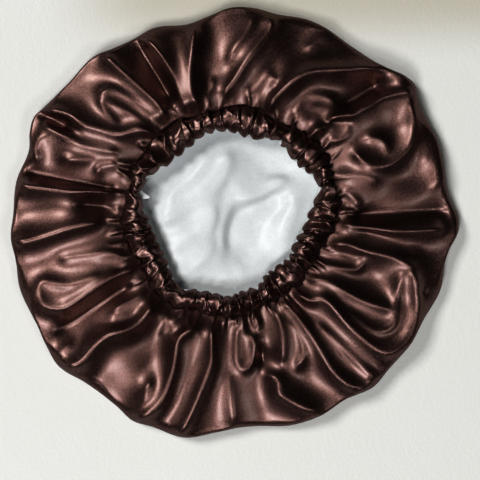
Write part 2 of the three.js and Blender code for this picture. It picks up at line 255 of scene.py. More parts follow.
# The lining under the casing: share of the way in to the mouth's edge, and height over the stitch line.
LINING_CHANNEL = (
    (0.08, -4.6), (0.2, -4.4), (0.27, -3.2), (0.36, -0.8), (0.45, 0.3), (0.6, 0.55), (0.75, 0.6),
    (0.88, 0.75), (0.95, 0.85), (1.0, 0.9),
)

# The floor of the shell: each ring's share of the way out, and its number of points.
SHELL_FLOOR = ((0, 1), (0.14, 12), (0.3, 24), (0.48, 48), (0.66, 96), (0.82, 192), (0.93, 384))

# The waves that ruffle the cloth: the seed of their draws, their shortest length and their longest.
WAVES = {
    "stitch line": (SEED + 4, 7, 16),
    "shoulder": (SEED + 7, 25, 70),
    "fine on the shell": (SEED + 5, 9, 30),
    "wide on the shell": (SEED + 6, 35, 70),
    "casing": (SEED + 9, 2.5, 7),
    "wide on the lining": (SEED + 1, 22, 50),
    "fine on the lining": (SEED + 2, 6, 12),
    "lining's edge": (SEED + 3, 7, 13),
}

# How far in from the outline the shell's relief reaches its full height.
LIP_FADE = 12

# How far out from the stitch line the shell rises to its top, its folds and waves reach their full
# height, and the mouth's pleats are gone.
PINCH_FADE = 9
FOLD_FADE = 14
WAVE_FADE = 20
PLEAT_START = 4
PLEAT_FADE = 24

# The lights: name, place and width in metres, power in watts and colour.
LIGHTS = (
    ("key", (-5.4, 3.2, 8.2), 3.0, 640, (1.0, 0.99, 0.97)),
    ("overhead", (-0.8, -1.8, 5.2), 0.6, 42, (1.0, 0.98, 0.96)),
    ("front", (-2.4, -4.8, 8.0), 2.2, 380, (0.98, 0.985, 1.0)),
    ("right", (4.2, -3.4, 7.4), 2.0, 110, (1.0, 0.98, 0.96)),
)

# The camera's place in metres, from which it looks straight down.
CAMERA_PLACE = (0.0039, -0.0144, 1.1)


def smooth_loop(table, column=1):
    """A smooth function of the angle through a table's rows, which comes back to where it began."""
    angles = np.array([row[0] for row in table], float)
    values = np.array([row[column] for row in table], float)
    angles = np.concatenate([angles[-2:] - 360, angles, angles[:3] + 360])
    values = np.concatenate([values[-2:], values, values[:3]])
    slopes = np.gradient(values, angles)

    def read(angle):
        angle = np.mod(angle, 360)
        row = np.clip(np.searchsorted(angles, angle, side="right") - 1, 0, len(angles) - 2)
        step = angles[row + 1] - angles[row]
        share = (angle - angles[row]) / step
        start, end = values[row], values[row + 1]
        rise_in, rise_out = slopes[row] * step, slopes[row + 1] * step
        square, cube = share**2, share**3
        return (
            (2 * cube - 3 * square + 1) * start
            + (cube - 2 * square + share) * rise_in
            + (3 * square - 2 * cube) * end
            + (cube - square) * rise_out
        )

    return read


outline = smooth_loop(OUTLINE)
mouth_edge = smooth_loop(MOUTH, 1)
wide_line = smooth_loop(MOUTH, 2)


def stitch_line(angle):
    """The radius of the stitch line, which small waves push in and out."""
    inset, depth = 1.0, 1.5
    waves = ripples(plan(angle, MOUTH_RADIUS).reshape(-1, 2), "stitch line").reshape(np.shape(angle))
    return wide_line(angle) - inset + depth * waves


def ease(share):
    """A share from 0 to 1 that starts and ends level."""
    share = np.clip(share, 0, 1)
    return share * share * (3 - 2 * share)


def growing(least, share):
    """A factor that grows from least to 1 as the share grows from 0 to 1."""
    return least + (1 - least) * ease(share)


def plan(angle, radius):
    """The place on the floor at an angle and radius, as an array of x and y."""
    turn = np.radians(angle)
    return np.stack([radius * np.cos(turn), radius * np.sin(turn)], axis=-1)


def crown_middle():
    """Where the middle of the crown stands, when the middle of the outline's box is at the origin."""
    edge = plan(np.arange(0, 360, 0.25), outline(np.arange(0, 360, 0.25)))
    return -(edge.min(0) + edge.max(0)) / 2


class Ridge(NamedTuple):
    """A fold ready to be worked out: its rise, its widths, and points close together on its crest."""

    rise: float
    left: float
    right: float
    line: np.ndarray


def smooth_line(corners, spacing=1.0):
    """Points close together along a smooth line through the corners."""
    corners = np.asarray(corners, float)
    ends = np.concatenate([[2 * corners[0] - corners[1]], corners, [2 * corners[-1] - corners[-2]]])
    line = []
    for before, start, end, after in zip(ends, ends[1:], ends[2:], ends[3:]):
        count = max(2, int(np.linalg.norm(end - start) / spacing))
        share = np.arange(count)[:, None] / count
        line.append(
            0.5 * (2 * start + (end - before) * share
                   + (2 * before - 5 * start + 4 * end - after) * share**2
                   + (3 * start - before - 3 * end + after) * share**3)
        )
    return np.concatenate([*line, corners[-1:]])


def charted(folds):
    """The ridges of a table's folds."""
    ridges = []
    for fold in folds:
        angles, radii = np.array(fold.crest, float).T
        ridges.append(Ridge(fold.rise, fold.left, fold.right, smooth_line(plan(angles, radii))))
    return ridges


def beside(ridge, places):
    """How far places are from a ridge's crest, how far to its left, and where along it."""
    line = ridge.line
    ahead = np.gradient(line, axis=0)
    ahead /= np.linalg.norm(ahead, axis=1)[:, None]
    gap = places[:, None] - line[None]
    nearest = np.argmin((gap**2).sum(-1), axis=1)
    away = gap[np.arange(len(places)), nearest]
    heading = ahead[nearest]
    distance = np.linalg.norm(away, axis=1)
    aside = heading[:, 0] * away[:, 1] - heading[:, 1] * away[:, 0]
    length = np.linalg.norm(np.diff(line, axis=0), axis=1).sum()
    return distance, aside / np.maximum(distance, 1e-6), nearest / (len(line) - 1) * length, length


class Relief(NamedTuple):
    """Heights on a grid of cells, from a corner on."""

    heights: np.ndarray
    corner: np.ndarray
    cell: float

    def at(self, places):
        """The smooth height at each place."""
        steps = (places - self.corner) / self.cell
        first = np.floor(steps).astype(int)
        share = (steps - first).T
        weights = np.stack([
            (1 - share) ** 3, 3 * share**3 - 6 * share**2 + 4,
            -3 * share**3 + 3 * share**2 + 3 * share + 1, share**3,
        ]) / 6
        columns, rows = self.heights.shape
        total = np.zeros(len(places))
        for i in range(4):
            column = np.clip(first[:, 0] + i - 1, 0, columns - 1)
            for j in range(4):
                row = np.clip(first[:, 1] + j - 1, 0, rows - 1)
                total += weights[i, 0] * weights[j, 1] * self.heights[column, row]
        return total


def neighbours(heights):
    """The sum of the four heights beside each one."""
    around = np.pad(heights, 1, mode="edge")
    return around[2:, 1:-1] + around[:-2, 1:-1] + around[1:-1, 2:] + around[1:-1, :-2]


def draped(ridges, corner, size, cell, softness, taper, spread, rounds=400, calm=0):
    """The relief of a cloth that hangs over the ridges' crests, on a grid of cells from a corner.

    Each crest holds the cloth at its height, over about its softness, and lets go of it over the
    taper at either end. Beside a crest the cloth settles towards zero over the ridge's width times
    the spread. A ridge with a negative rise holds the cloth down. The calm rounds smooth it.
    """
    grip, loosest, default_width, batch = 3.0, 0.004, 8.0, 15000
    shape = [int(side / cell) + 1 for side in size]
    grid = np.indices(shape).reshape(2, -1).T * cell + corner
    hold, held, near_sum, reach_sum = (np.zeros(len(grid)) for _ in range(4))
    for ridge in ridges:
        reach = 1.6 * max(ridge.left, ridge.right) + 3 * softness
        low, high = ridge.line.min(0) - reach, ridge.line.max(0) + reach
        near = np.flatnonzero(np.all((grid > low) & (grid < high), axis=1))
        for part in np.array_split(near, 1 + len(near) // batch):
            if not len(part):
                continue
            distance, lean, place, length = beside(ridge, grid[part])
            lean = np.clip(3 * lean, -1, 1)
            width = (ridge.left + ridge.right) / 2 + (ridge.left - ridge.right) / 2 * lean
            closeness = (distance + 0.5 * cell) ** -3.0
            near_sum[part] += closeness
            reach_sum[part] += closeness * width
            end = ease(np.minimum(place, length - place) / min(taper, 0.45 * length))
            strength = grip * np.exp(-((distance / softness) ** 2)) * (loosest + (1 - loosest) * end**2)
            hold[part] += strength
            held[part] += strength * ridge.rise
    reach = np.where(near_sum > 0, reach_sum / np.maximum(near_sum, 1e-12), default_width) / cell
    settle = (1.0 / (spread * reach) ** 2).reshape(shape)
    hold, held = hold.reshape(shape), held.reshape(shape)
    heights = np.zeros(shape)
    weight = 4 + settle + 4 * hold
    for _ in range(rounds):
        heights = (neighbours(heights) + 4 * held) / weight
    for _ in range(calm):
        heights = (heights + neighbours(heights) / 4) / 2
    return Relief(heights, np.asarray(corner, float), cell)


def ripples(places, kind, count=24):
    """Gentle waves of one kind in all directions, mostly between -1.5 and 1.5."""
    seed, shortest, longest = WAVES[kind]
    draw = np.random.default_rng(seed)
    total = np.zeros(len(places))
    for _ in range(count):
        wave = draw.normal(size=places.shape[1])
        wave *= 2 * math.pi / draw.uniform(shortest, longest) / np.linalg.norm(wave)
        total += np.cos(places @ wave + draw.uniform(0, 2 * math.pi))
    return total / math.sqrt(count)


def way_round(angle):
    """How far along the stitch line each angle is."""
    return np.mod(angle, 360) / 360 * STRIP_LENGTH


class Gathers(NamedTuple):
    """The mouth's pleats: where each begins, which way it leans, and the relief of their folds.

    A place in the relief is the way round the stitch line, and how far inside it.
    """

    starts: np.ndarray
    leans: np.ndarray
    relief: Relief

    def height(self, angle, inside):
        """How high the folds stand at each angle and distance inside the stitch line."""
        return self.relief.at(np.column_stack([way_round(angle), inside]))

    def pleat(self, angle):
        """Which pleat each angle is in, and how far through it."""
        way = way_round(angle)
        number = np.clip(np.searchsorted(self.starts, way, side="right") - 1, 0, len(self.leans) - 1)
        return number, (way - self.starts[number]) / (self.starts[number + 1] - self.starts[number])

    def tongue(self, angle):
        """How far each pleat's rounded end reaches into the mouth, from 0 to 1."""
        return np.sin(math.pi * np.clip(self.pleat(angle)[1], 0, 1)) ** 0.6

    def lean(self, angle):
        """Which way the pleats lean at each angle, from -1 to 1."""
        number, share = self.pleat(angle)
        return self.leans[number] * np.minimum(1, 4 * np.minimum(share, 1 - share))


@cache
def gathered(gather_rise):
    """The mouth's pleats, each with one steep side, and smaller curls on some of them."""
    draw = np.random.default_rng(SEED)
    widths = []
    while sum(widths) < STRIP_LENGTH:
        widths.append(draw.uniform(*PLEAT_WIDTHS))
    starts = np.concatenate([[0], np.cumsum(widths)]) * STRIP_LENGTH / sum(widths)
    leans, ridges, lean = [], [], 1
    for start, end in zip(starts, starts[1:]):
        width = end - start
        lean = lean * draw.choice([1, 1, -1])
        leans.append(lean)
        shape = GATHER_SHAPES[draw.integers(len(GATHER_SHAPES))]
        middle, half = (start + end) / 2 + 0.22 * lean * width, 0.3 * width * draw.choice([-1, 1])
        crest = np.array([(middle + half * s, across + draw.uniform(-1, 1)) for across, s in shape])
        rise = gather_rise * draw.uniform(0.7, 1.25)
        steep, gentle = 0.2 * width, 0.85 * width
        folds = [
            (rise, crest, *((gentle, steep) if lean < 0 else (steep, gentle))),
            (0.0, crest + [lean * (0.15 * width + 0.9), 0], 0.5 * width, 0.5 * width),
        ]
        if draw.uniform() < CURLED_SHARE:
            shape = GATHER_CURLS[draw.integers(len(GATHER_CURLS))]
            middle, half = (start + end) / 2 - 0.15 * lean * width, 0.42 * width * draw.choice([-1, 1])
            crest = np.array([(middle + half * s, across + draw.uniform(-2, 2)) for across, s in shape])
            folds.append((rise * draw.uniform(0.6, 1.1), crest, 0.18 * width, 0.25 * width))
        for rise, crest, left, right in folds:
            for turn in (-STRIP_LENGTH, 0, STRIP_LENGTH):
                line = smooth_line(crest + [turn, 0], 0.5)
                if line[:, 0].max() > -STRIP_OVERLAP and line[:, 0].min() < STRIP_LENGTH + STRIP_OVERLAP:
                    ridges.append(Ridge(rise, left, right, line))
    corner, size = (-12, -26), (STRIP_LENGTH + 24, 58)
    relief = draped(ridges, corner, size, 0.4, softness=0.42, taper=3.0, spread=1.6, rounds=150)
    return Gathers(starts, np.array(leans), relief)


@cache
def shell_folds():
    """The relief of the shell's charted folds."""
    half = 195
    return draped(
        charted(FOLDS), (-half, -half), (2 * half, 2 * half), 0.8, softness=0.8, taper=14.0, spread=1.35
    )


def shoulder_depth(sizes, angle):
    """How far inside the outline the top begins, which varies round it."""
    waves_radius, wave, least, most = 150.0, 0.7, 0.4, 2.2
    vary = 1 + wave * ripples(plan(angle, waves_radius), "shoulder")
    return sizes.lip_depth * np.clip(vary, least, most)


def shell_top(sizes, gathers, angle, radii):
    """The height of the shell's top at rows of radii, which have a column for each angle.

    Where folds and pleats meet, the higher one shows, and a valley is cut into both.
    """
    angle, radius = np.broadcast_to(angle, radii.shape).ravel(), radii.ravel()
    edge, stitch = outline(angle), stitch_line(angle)
    inset, outset = edge - radius, radius - stitch
    depth = shoulder_depth(sizes, angle)
    way = (inset - depth) / np.maximum(edge - depth - stitch, 1)
    base = sizes.lip_height + (sizes.top_height - sizes.lip_height) * ease(2 * way)
    base = base - (sizes.top_height - sizes.pinched_height) * (1 - ease(outset / PINCH_FADE))
    over_lip = growing(0.6, inset / LIP_FADE)
    rise = shell_folds().at(plan(angle, radius)) * sizes.fold_scale
    rise = rise * growing(0.7, outset / FOLD_FADE) * over_lip
    stretched = np.column_stack([plan(angle, 120), 0.35 * radius])
    fine = sizes.ripple * ripples(stretched, "fine on the shell") * over_lip
    wide = ripples(plan(angle, radius), "wide on the shell")
    fine = fine + sizes.billow * wide * ease(outset / WAVE_FADE) * over_lip
    pleats = gathers.height(angle, -outset)
    pleats = pleats * growing(0.5, outset / 5) * (1 - ease((outset - PLEAT_START) / PLEAT_FADE))
    joined = (np.maximum(rise, 0) ** 4 + np.maximum(pleats, 0) ** 4) ** 0.25 + np.minimum(rise, 0)
    return (base + joined + fine).reshape(radii.shape)


def join_rings(start, count, next_start, next_count):
    """Faces between two rings that have the same number of points, or twice as many, or one."""
    step = np.arange(max(count, next_count))
    near = start + (step * count // len(step)) % count
    near_next = start + ((step + 1) * count // len(step)) % count
    far = next_start + (step * next_count // len(step)) % next_count
    far_next = next_start + ((step + 1) * next_count // len(step)) % next_count
    corners = zip(near.tolist(), near_next.tolist(), far_next.tolist(), far.tolist())
    return [tuple(dict.fromkeys(face)) for face in corners]


def along_rings(grid):
    """The way from each point's neighbour before to the one after, along its ring."""
    return np.roll(grid, -1, axis=1) - np.roll(grid, 1, axis=1)


def outward_of(grid):
    """The outward direction at each point of a grid of rings."""
    outward = np.cross(along_rings(grid), np.gradient(grid, axis=0))
    return outward / np.maximum(np.linalg.norm(outward, axis=-1, keepdims=True), 1e-9)


def ring_of(angle, radius, height):
    """The points of a ring, one at each angle."""
    return np.column_stack([plan(angle, radius), height])


def both_sides(rings, cuts, thickness, coarser=1):
    """A cloth's outer side, and then its inner one back to the start, moved in by the thickness.

    The inner side may be coarser, and takes every second ring and every second point of it then.
    """
    full = len(rings[-1])
    first = next(i for i, ring in enumerate(rings) if len(ring) == full)
    kept = list(range(first, len(rings), coarser))
    bag = np.stack([rings[i][::coarser] for i in kept])
    moved = list(bag - outward_of(bag) * thickness)
    back, back_cuts = [], []
    for i in range(first):
        if len(rings[i]) <= full // coarser:
            back.append(rings[i] + [0, 0, thickness])
            back_cuts.append(cuts[i])
    if first:
        moved[0] = bag[0] + [0, 0, thickness]
    back += moved
    back_cuts += [cuts[i][::coarser] for i in kept]
    return rings + back[::-1], cuts + back_cuts[::-1]


def floor_rings(edge, heights, radii):
    """Rings over the floor from the middle out, which have more points the wider they are.

    edge is the radius of the last ring at each angle, heights gives the height at places on the
    floor, and radii pairs each ring's share of the edge with its number of points.
    """
    rings, cuts = [], []
    for share, count in radii:
        angle = 360 * np.arange(count) / count
        spots = plan(angle, edge[:: len(edge) // count] * share)
        rings.append(np.column_stack([spots, heights(spots)]))
        cuts.append(spots * MM)
    return rings, cuts


def shell_rings(sizes, gathers, columns=768, top_rows=74, lip_rows=8, shoulder_rows=12):
    """Rings from the middle of the crown, over the floor, round the outline and up to the mouth."""
    angle = 360 * np.arange(columns) / columns
    edge, stitch, depth = outline(angle), stitch_line(angle), shoulder_depth(sizes, angle)
    foot = edge - sizes.foot_inset
    rings, cuts = floor_rings(foot, lambda spots: np.zeros(len(spots)), SHELL_FLOOR)
    bends = np.radians(np.linspace(-90, 0, lip_rows, endpoint=False))
    section = smooth_line(LIP_SECTION, 0.1)[:-1]
    inwards, upwards = section[np.linspace(0, len(section) - 1, shoulder_rows).astype(int)].T
    lip = edge[None] - (sizes.foot_inset * (1 - np.cos(bends)))[:, None]
    shoulder = edge[None] - inwards[:, None] * depth
    ways = np.linspace(0, 1, top_rows)[:, None]
    top = (edge - depth) * (1 - ways) + (stitch + sizes.gap) * ways
    radii = np.concatenate([lip, shoulder, top])
    heights = shell_top(sizes, gathers, angle, radii)
    lift = np.concatenate([np.sin(bends), upwards, np.ones(top_rows)])[:, None]
    upper = sizes.side_height + (heights - sizes.side_height) * lift
    lower = sizes.side_height * (1 + lift)
    heights = np.where(lift < 0, lower, upper)
    for _ in range(2):
        heights[1:-1] = (heights[:-2] + 2 * heights[1:-1] + heights[2:]) / 4
        heights = (np.roll(heights, 1, axis=1) + 2 * heights + np.roll(heights, -1, axis=1)) / 4
    heights[0] = 0
    tucks = [(sizes.gap - 0.15, 0.7), (-0.2, 1.6), (-1.0, 1.8), (-2.0, 2.0)]
    radii = np.concatenate([radii, *([stitch + outwards] for outwards, _ in tucks)])
    heights = np.concatenate([heights, *([0 * stitch + sizes.pinched_height - down] for _, down in tucks)])
    steps = np.hypot(np.diff(radii, axis=0), 0.5 * np.diff(heights, axis=0))
    lengths = foot + np.concatenate([np.zeros((1, columns)), np.cumsum(steps, axis=0)])
    for radius, height, length in zip(radii, heights, lengths):
        rings.append(ring_of(angle, radius, height))
        cuts.append(plan(angle, length) * MM)
    return both_sides(rings, cuts, sizes.cloth, coarser=2)


def casing_rings(sizes, gathers, columns=1080, rows=62):
    """Rings of the casing from the stitch line over to the mouth's edge and a little way under."""
    held_back, rim_width, sideways_lean, map_length = 1.6, 14, 0.45, 1.2
    angle = 360 * np.arange(columns) / columns
    edge, stitch = mouth_edge(angle) + held_back, stitch_line(angle) - sizes.gap
    section = smooth_line(CASING_SECTION, 0.02)
    steps = np.hypot(np.diff(section[:, 0]) * ARCH_WIDTH, np.diff(section[:, 1]) * ARCH_HEIGHT)
    along = np.concatenate([[0], np.cumsum(steps)])
    share = np.linspace(0, along[-1], rows)
    across, up = np.interp(share, along, section[:, 0]), np.interp(share, along, section[:, 1])
    radii = stitch - (stitch - edge) * across[:, None]
    heights = sizes.pinched_height + (sizes.casing_height - sizes.pinched_height) * up[:, None]
    grid = np.dstack([plan(angle, radii), np.broadcast_to(heights, radii.shape)])
    strip = share[:, None] / along[-1] * ARCH_CLOTH + 0 * radii
    turns = np.broadcast_to(angle, radii.shape)
    height = gathers.height(turns.ravel(), strip.ravel()).reshape(radii.shape)
    places = np.column_stack([plan(turns.ravel(), MOUTH_RADIUS), strip.ravel() * 0.5])
    height = height + 0.5 * sizes.ripple * ripples(places, "casing").reshape(radii.shape)
    past_rim = share - along[-1] + rim_width
    height = height * (growing(0.5, share / 5)[:, None] * (1 - 0.8 * ease(past_rim / 9))[:, None])
    rim = ease(past_rim / 8)[:, None] * (gathers.tongue(angle) - 0.6)
    around = along_rings(grid)
    around /= np.linalg.norm(around, axis=-1, keepdims=True)
    inward = -np.dstack([plan(angle, np.ones_like(radii)), np.zeros_like(radii)])
    sideways = ease(share / 7)[:, None, None]
    lifted = outward_of(grid) * sideways + np.array([0, 0, 1]) * (1 - sideways)
    grid = grid + lifted * height[..., None] + inward * (sizes.scallop * rim)[..., None]
    grid = grid + around * (sideways_lean * height * gathers.lean(angle))[..., None]
    cuts = [np.column_stack([angle / 360 * map_length, np.full(columns, s * MM)]) for s in share]
    return both_sides(list(grid), cuts, sizes.cloth, coarser=2)


def lining_floor(sizes, foot, columns):
    """The lining's floor: rings a little way apart where it shows, and wider apart under the shell."""
    ring_gap, longest_side, shown, first_count = 1.6, 1.9, 100, 12
    creases = draped(
        charted(CREASES), (-110, -110), (220, 220), 1.0, softness=2.5, taper=14.0, spread=1.6, calm=8
    )

    def height(spots):
        flat = ease((np.linalg.norm(spots, axis=1) - 78) / 40)
        fold = creases.at(spots) * sizes.crease_scale
        waves = 0.5 * ripples(spots, "wide on the lining") + 0.04 * ripples(spots, "fine on the lining")
        return sizes.floor_gap + (3.4 + fold + waves) * (1 - flat)

    steps = [(0, 1)]
    radius, count = ring_gap, first_count
    while radius < shown:
        while count < columns and radius * 2 * math.pi / count > longest_side:
            count *= 2
        steps.append((radius / foot.mean(), count))
        radius += ring_gap
    steps += [(radius / foot.mean(), columns) for radius in (104, 112, 122, 134, 146)]
    return floor_rings(foot, height, steps)


def lining_roof(sizes, gathers, angle, under):
    """The height of the lining below the shell's top, low enough to clear the valleys beside it."""
    below_shell, below_stitches = 2.6, 4.5
    roof = shell_top(sizes, gathers, angle, under)
    for _ in range(3):
        roof = np.minimum(roof, np.minimum(np.roll(roof, 1, axis=1), np.roll(roof, -1, axis=1)))
        roof[1:-1] = np.minimum(roof[1:-1], np.minimum(roof[:-2], roof[2:]))
    return np.minimum(roof - below_shell, sizes.pinched_height - below_stitches)


def lining_rings(sizes, gathers, columns=384):
    """Rings of the lining from the middle of its floor, round inside the shell and up to the mouth."""
    inside_foot, side_reach, inside_stitch, inside_mouth = 4, 8, 4, 1.2
    angle = 360 * np.arange(columns) / columns
    edge, stitch, mouth = outline(angle), stitch_line(angle), mouth_edge(angle)
    foot = edge - sizes.foot_inset - inside_foot
    rings, cuts = lining_floor(sizes, foot, columns)
    low, high = sizes.floor_gap, sizes.lip_height - 7.5
    bends = np.radians(np.linspace(-90, 90, 9))
    radii = [foot + side_reach * np.cos(bend) for bend in bends]
    heights = [np.full(columns, (low + high) / 2 + (high - low) / 2 * math.sin(bend)) for bend in bends]
    ways = np.linspace(0, 1, 40)[1:, None]
    under = foot * (1 - ways) + (stitch + inside_stitch) * ways
    radii += list(under)
    heights += list(high + (lining_roof(sizes, gathers, angle, under) - high) * ease(6 * ways))
    peek = np.zeros(columns)
    for middle, reach, half in PEEKS:
        away = np.abs((angle - middle + 180) % 360 - 180)
        peek = np.maximum(peek, reach * (1 - ease(away / half)))
    wavy = ripples(plan(angle, MOUTH_RADIUS), "lining's edge")
    end = mouth + inside_mouth - peek - 0.3 * wavy
    for across, height in LINING_CHANNEL:
        radii.append((stitch + inside_stitch) * (1 - across) + end * across)
        heights.append(sizes.pinched_height + height + 0.35 * wavy * across)
    for radius, height in zip(radii, heights):
        rings.append(ring_of(angle, radius, height))
        cuts.append(plan(angle, radius) * MM)
    return both_sides(rings, cuts, sizes.lining_cloth)


def elastic_rings(sizes, columns=360, ribs=6):
    """Rings of the flat ribbed elastic, round and round its section."""
    spare, rib_depth, knit_depth, map_length, map_width = 7, 0.25, 0.03, 0.45, 5
    angle = 360 * np.arange(columns) / columns
    middle = (mouth_edge(angle) + stitch_line(angle)) / 2 + 0.5
    half = np.minimum(sizes.elastic_width, stitch_line(angle) - mouth_edge(angle) - spare) / 2
    thick = sizes.elastic_thickness / 2
    section = []
    for side in (1, -1):
        for share in np.linspace(1, -1, 4 * ribs + 1)[:-1]:
            rib = 1 - rib_depth + rib_depth * abs(math.cos(math.pi * ribs / 2 * (share + 1)))
            round_end = math.sqrt(max(0.0, 1 - max(0.0, abs(share) - 0.9) ** 2 * 90))
            section.append((side * share, side * thick * rib * max(round_end, 0.3)))
    rings, cuts = [], []
    knit = knit_depth * np.cos(2 * math.pi * np.arange(columns) / 3)
    for across, up in section:
        rings.append(ring_of(angle, middle + across * half, sizes.elastic_height + up * (1 + knit)))
        cuts.append(np.column_stack([angle / 360 * map_length, np.full(columns, across * map_width * MM)]))
    return rings, cuts


def cloth_object(name, rings, cuts):
    """A mesh object over a run of rings in millimetres, closed at both ends or back to its start.

    cuts gives each point's place in the flat cloth, in metres, as the map that the weave follows.
    """
    counts = [len(ring) for ring in rings]
    starts = np.concatenate([[0], np.cumsum(counts)])
    faces = []
    for row in range(len(rings) - (counts[0] == 1)):
        after = (row + 1) % len(rings)
        faces += join_rings(int(starts[row]), counts[row], int(starts[after]), counts[after])
    points = np.concatenate(rings)
    points[:, :2] += crown_middle()
    mesh = bpy.data.meshes.new(name)
    mesh.from_pydata((points * MM).tolist(), [], faces)
    layer = mesh.uv_layers.new(name="cut")
    corners = np.zeros(len(mesh.loops), np.int32)
    mesh.loops.foreach_get("vertex_index", corners)
    layer.data.foreach_set("uv", np.concatenate(cuts)[corners].astype(np.float32).ravel())
    mesh.shade_smooth()
    piece = bpy.data.objects.new(name, mesh)
    bpy.context.scene.collection.objects.link(piece)
    return piece


class Wire:
    """An output of a shader node, on which Python's operators add maths nodes."""

    def __init__(self, tree, socket=None):
        self.tree, self.socket = tree, socket

    def make(self, kind, settings=None, inputs=None, output=0):
        """Adds a node with its settings and inputs, and gives one of its outputs."""
        node = self.tree.nodes.new(kind)
        for name, value in (settings or {}).items():
            setattr(node, name, value)
        for key, value in (inputs or {}).items():
            if isinstance(value, Wire):
                self.tree.links.new(value.socket, node.inputs[key])
            else:
                node.inputs[key].default_value = value
        return Wire(self.tree, node.outputs[output])

    def maths(self, operation, *values):
        """A Math node, or a Vector Math node where any of the values is a vector or a colour."""
        wide = [isinstance(v, tuple) or isinstance(v, Wire) and v.socket.type != "VALUE" for v in values]
        kind = "ShaderNodeVectorMath" if any(wide) else "ShaderNodeMath"
        if any(wide):
            values = [(v, v, v) if isinstance(v, (int, float)) else v for v in values]
        return self.make(kind, {"operation": operation}, dict(enumerate(values)))

    def __add__(self, other):
        return self.maths("ADD", self, other)

    def __sub__(self, other):
        return self.maths("SUBTRACT", self, other)

    def __mul__(self, other):
        return self.maths("MULTIPLY", self, other)

    def __radd__(self, other):
        return self.maths("ADD", other, self)

    def __rsub__(self, other):
        return self.maths("SUBTRACT", other, self)

    def __rmul__(self, other):
        return self.maths("MULTIPLY", other, self)

    def between(self, low, high):
        """How far this value is from low to high, as a share that starts and ends level."""
        inputs = {"Value": self, "From Min": low, "From Max": high}
        return self.make("ShaderNodeMapRange", {"interpolation_type": "SMOOTHSTEP"}, inputs)

    def blend(self, first, second):
        """A colour between two others, by this share."""
        return self.make("ShaderNodeMix", {"data_type": "RGBA"}, {0: self, 6: first, 7: second}, 2)

    def noise(self, scale, detail=2.0, rough=0.5):
        """Noise at this place, from about 0 to 1."""
        inputs = {"Vector": self, "Scale": scale, "Detail": detail, "Roughness": rough}
        return self.make("ShaderNodeTexNoise", None, inputs)


def finished(material, tree, constants, wires):
    """Sets a Principled shader's constants and links what varies."""
    shader = tree.nodes.new("ShaderNodeBsdfPrincipled")
    output = tree.nodes.new("ShaderNodeOutputMaterial")
    tree.links.new(shader.outputs[0], output.inputs[0])
    for name, value in constants.items():
        shader.inputs[name].default_value = value
    for name, wire in wires.items():
        tree.links.new(wire.socket, shader.inputs[name])
    return material


def empty_material(name):
    """A material with an empty node tree, and a wire to start from."""
    material = bpy.data.materials.new(name)
    material.use_nodes = True
    material.node_tree.nodes.clear()
    return material, material.node_tree, Wire(material.node_tree)


def shaded(colour, factor):
    """A colour times a factor, with its alpha."""
    return tuple(min(1.0, c * factor) for c in colour[:3]) + (1.0,)


def satin(name, colour, roughness, metallic, grain, bump, coat=0.0):
    """Satin: fine yarns along one way of the cut cloth, in its colour, gloss and surface."""
    weave_turn, along_yarns, across_yarns = 38, (850.0, 380.0, 0.0), (420.0, 1900.0, 0.0)
    darkest, lightest, cloudiness = 0.72, 1.28, 38.0
    material, tree, start = empty_material(name)
    cut = start.make("ShaderNodeUVMap", {"uv_map": "cut"})
    inputs = {"Vector": cut, "Angle": math.radians(weave_turn)}
    turned = cut.make("ShaderNodeVectorRotate", {"rotation_type": "Z_AXIS"}, inputs)
    yarn = (turned * along_yarns).noise(1.0, 3.0, 0.7)
    cross = (turned * across_yarns).noise(1.0, 2.0)
    cloudy = cut.noise(cloudiness, 3.0)
    shade = 0.5 + grain * (yarn - 0.5) + 0.35 * grain * (cross - 0.5) + 0.3 * (cloudy - 0.5)
    tint = shade.between(0.1, 0.9).blend(shaded(colour, darkest), shaded(colour, lightest))
    rough = roughness + 0.3 * (yarn - 0.5) + 0.1 * (cloudy - 0.5)
    surface = yarn * 0.6 + cross * 0.3
    normal = surface.make("ShaderNodeBump", None, {"Strength": bump, "Distance": 0.0003, "Height": surface})
    constants = {
        "Metallic": metallic,
        "Specular Tint": (0.2, 0.19, 0.18, 1.0) if metallic else (1.0, 1.0, 1.0, 1.0),
        "Coat Weight": coat,
        "Coat Roughness": 0.23,
        "Coat Tint": (1.0, 0.9, 0.87, 1.0),
    }
    return finished(material, tree, constants, {"Base Color": tint, "Roughness": rough, "Normal": normal})


def knitted(name, colour):
    """Knitted elastic: ribs across it, and rows of small loops."""
    material, tree, start = empty_material(name)
    cut = start.make("ShaderNodeUVMap", {"uv_map": "cut"})
    rows = cut.make(
        "ShaderNodeTexWave", {"bands_direction": "X"},
        {"Vector": cut, "Scale": 260.0, "Distortion": 1.5, "Detail": 1.0},
    )
    loops = rows * 0.7 + cut.noise(1500.0) * 0.3
    tint = loops.between(0.0, 1.0).blend(shaded(colour, 0.75), shaded(colour, 1.05))
    normal = loops.make("ShaderNodeBump", None, {"Strength": 0.6, "Distance": 0.0003, "Height": loops})
    return finished(material, tree, {"Roughness": 0.8}, {"Base Color": tint, "Normal": normal})


def twisted(name, colour):
    """Sewing thread: two plies that show as a slanted stripe."""
    material, tree, start = empty_material(name)
    place = start.make("ShaderNodeTexCoord", output="Object")
    plies = place.make(
        "ShaderNodeTexWave", {"bands_direction": "DIAGONAL"},
        {"Vector": place, "Scale": 900.0, "Distortion": 0.6},
    )
    tint = plies.between(0.0, 1.0).blend(shaded(colour, 0.6), shaded(colour, 1.2))
    normal = plies.make("ShaderNodeBump", None, {"Strength": 0.5, "Distance": 0.0001, "Height": plies})
    constants = {"Roughness": 0.45, "Sheen Weight": 0.1}
    return finished(material, tree, constants, {"Base Color": tint, "Normal": normal})


